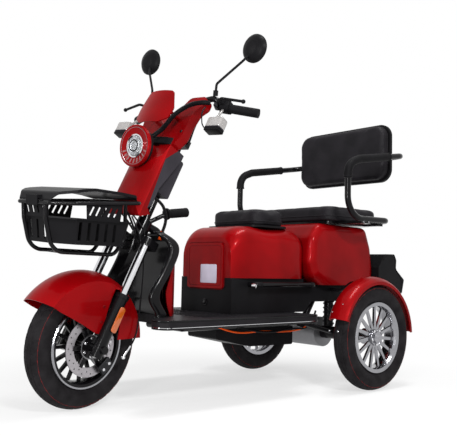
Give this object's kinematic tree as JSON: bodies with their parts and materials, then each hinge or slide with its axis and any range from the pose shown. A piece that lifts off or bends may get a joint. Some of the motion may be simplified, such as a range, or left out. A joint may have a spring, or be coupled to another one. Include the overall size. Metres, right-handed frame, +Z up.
{
  "type": "electric tricycle",
  "caption": "Electric tricycle with raked fork, lidded front basket, step-through deck, driver's saddle, rear bench with armrest loop and backrest.",
  "frame": {"origin": "under the middle of the whole vehicle, on the ground", "axes": "+X forward, +Y to the left, +Z up"},
  "size_m": [1.7501, 0.758, 1.3445],
  "materials": {
    "red_paint": "deep metallic red",
    "black_plastic": "satin black",
    "black_metal": "satin black",
    "chrome": "polished",
    "bright_alloy": "machined",
    "disc_steel": "ground",
    "cast_alloy": "cast",
    "tyre": "road tread",
    "grip_rubber": "soft",
    "seat_cover": "grained",
    "lens": "clear",
    "mirror": "polished"
  },
  "bodies": {
    "chassis": {"armrest_frame": "black_metal", "armrest_sleeves": "grip_rubber", "backrest_cushion": "seat_cover", "backrest_shell": "black_plastic", "battery_tray": "black_plastic", "bench_seat": "seat_cover", "footboard": "black_plastic", "frame": "black_metal", "front_shell": "red_paint", "leg_panel": "red_paint", "leg_shield": "black_plastic", "lower_body": "black_plastic", "motor": "cast_alloy", "rear_axle": "black_metal", "rear_fenders": "red_paint", "rear_shell": "red_paint", "shock_absorbers": "black_metal", "side_rails": "chrome", "tail_panel": "black_plastic"},
    "steering": {"basket": "black_plastic", "basket_frame": "black_metal", "column_back": "black_plastic", "column_cover": "red_paint", "controls": "black_plastic", "flyscreen": "red_paint", "fork_crown": "black_metal", "fork_legs": "black_metal", "fork_tubes": "chrome", "front_fender": "red_paint", "grips": "grip_rubber", "handlebar": "black_metal", "headlamp_bezel": "red_paint", "headlamp_bucket": "black_plastic", "headlamp_lens": "lens", "indicators": "lens", "mirror_glass": "mirror", "mirrors": "black_plastic"},
    "front_wheel": {"front_tyre": "tyre", "front_rim": "black_metal", "front_disc": "disc_steel"},
    "rear_left_wheel": {"rear_left_tyre": "tyre", "rear_left_rim": "bright_alloy"},
    "rear_right_wheel": {"rear_right_tyre": "tyre", "rear_right_rim": "bright_alloy"},
    "basket_lid": {"basket_lid": "black_plastic"},
    "driver_seat": {"driver_seat": "seat_cover", "driver_seat_pan": "black_plastic"},
    "hatch": {"hatch": "red_paint"}
  },
  "joints": [
    {"name": "steer", "type": "hinge", "parent": "chassis", "child": "steering", "pos_m": [0.60944, 0, 0.19485], "axis": [-0.4384, 0, 0.8988], "range_deg": [-45.6, 24.4]},
    {"name": "front_wheel_spin", "type": "hinge", "parent": "steering", "child": "front_wheel", "pos_m": [0.63594, 0.00552, 0.20778], "axis": [-0.1653, 0.9829, -0.0806], "continuous": true},
    {"name": "rear_left_wheel_spin", "type": "hinge", "parent": "chassis", "child": "rear_left_wheel", "pos_m": [-0.4756, 0.335, 0.208], "axis": [0, 1, 0], "continuous": true},
    {"name": "rear_right_wheel_spin", "type": "hinge", "parent": "chassis", "child": "rear_right_wheel", "pos_m": [-0.4756, -0.335, 0.208], "axis": [0, 1, 0], "continuous": true},
    {"name": "basket_lid_hinge", "type": "hinge", "parent": "steering", "child": "basket_lid", "pos_m": [0.54196, 0.02923, 0.68948], "axis": [0.1653, -0.9829, 0.0806], "range_deg": [0, 60]},
    {"name": "driver_seat_hinge", "type": "hinge", "parent": "chassis", "child": "driver_seat", "pos_m": [0.0014, 0, 0.6273], "axis": [0, 1, 0], "range_deg": [0, 80]},
    {"name": "hatch_hinge", "type": "hinge", "parent": "chassis", "child": "hatch", "pos_m": [0.1187, 0, 0.392], "axis": [0, 1, 0], "range_deg": [0, 90]}
  ]
}
